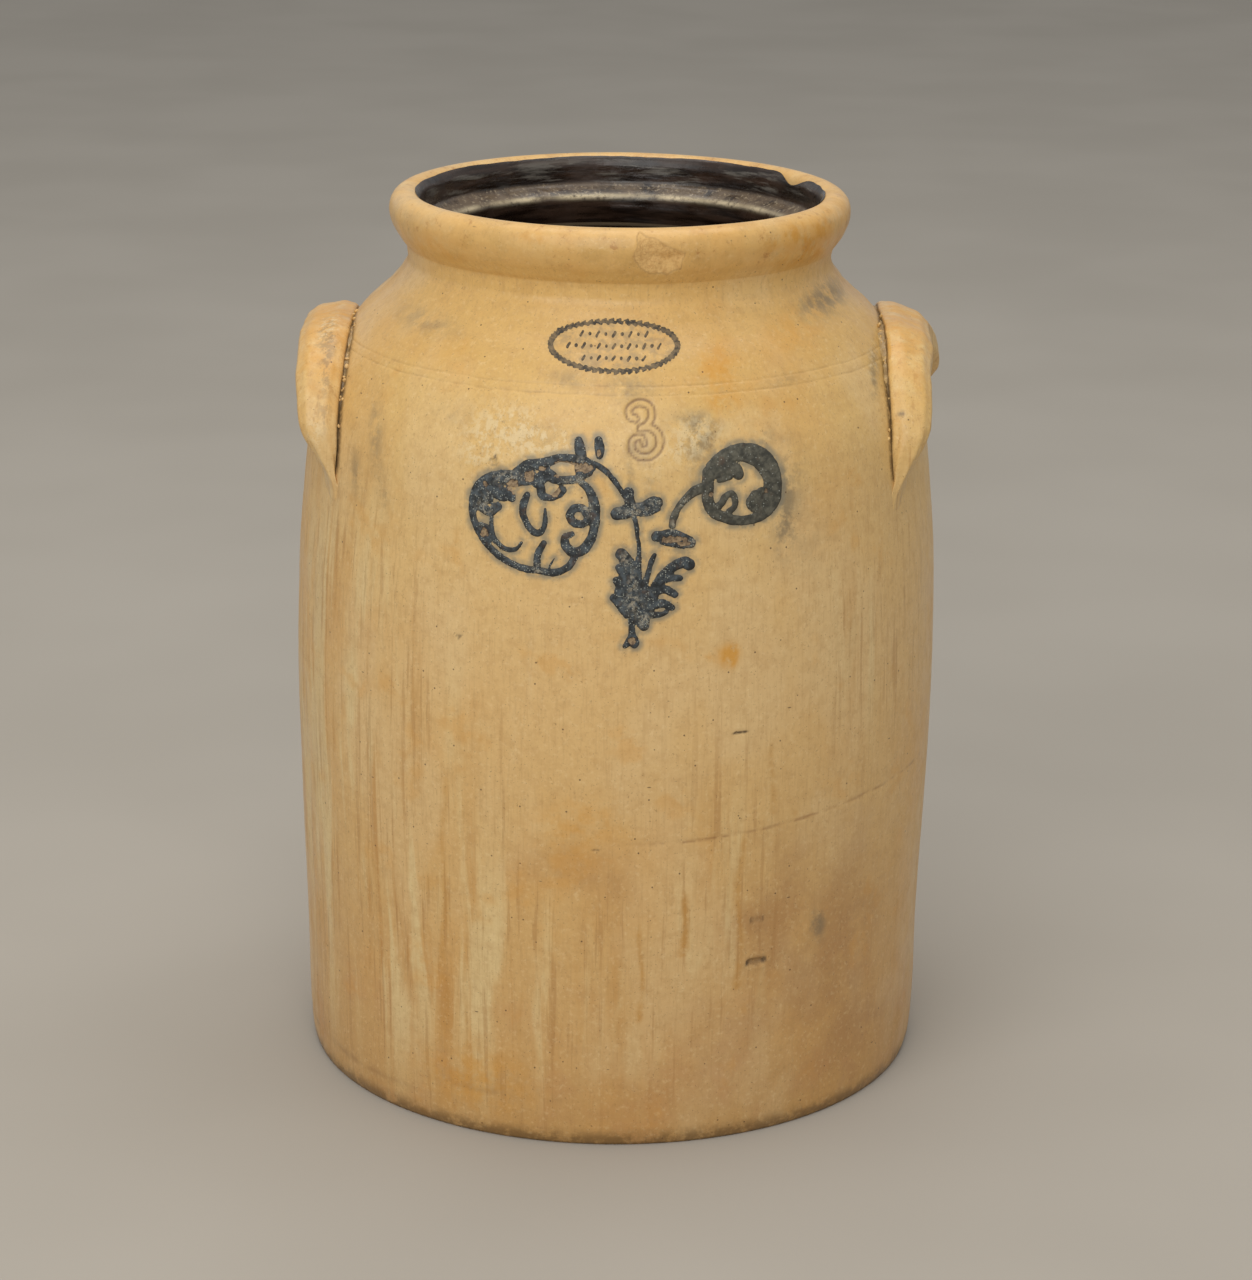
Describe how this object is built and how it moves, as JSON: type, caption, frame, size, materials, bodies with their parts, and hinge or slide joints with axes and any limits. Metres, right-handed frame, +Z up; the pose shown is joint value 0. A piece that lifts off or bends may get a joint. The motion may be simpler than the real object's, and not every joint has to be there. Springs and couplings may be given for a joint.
{
  "type": "ceramic crock fermenter",
  "caption": "Salt-glazed stoneware crock jar with a rolled collar, sunk lid ledge, two strap handles on the shoulder, brown slip lining and a cobalt flower spray.",
  "frame": {"origin": "centre of the base, on the surface the jar stands on", "axes": "+Z up along the thrown axis; the decorated front faces -Y; the handles are on +X and -X"},
  "size_m": [0.249, 0.249, 0.34],
  "materials": {
    "salt_glazed_stoneware": "satin orange-peel salt glaze over buff clay",
    "brown_slip": "semi-gloss dark brown slip",
    "cobalt_slip": "matte blue-black brushed cobalt",
    "stamp_blue": "matte blue-black"
  },
  "bodies": {
    "root": {"jar_body": "salt_glazed_stoneware", "handle_left": "salt_glazed_stoneware", "handle_right": "salt_glazed_stoneware", "slip_lining": "brown_slip", "cobalt_large_bloom": "cobalt_slip", "cobalt_small_bloom": "cobalt_slip", "cobalt_buds": "cobalt_slip", "cobalt_left_stem": "cobalt_slip", "cobalt_main_stem": "cobalt_slip", "cobalt_right_stem": "cobalt_slip", "cobalt_left_blossom": "cobalt_slip", "cobalt_right_blossom": "cobalt_slip", "cobalt_leaf_spray": "cobalt_slip", "stamp_oval_border": "stamp_blue", "stamp_bead_rows": "stamp_blue"}
  },
  "joints": []
}
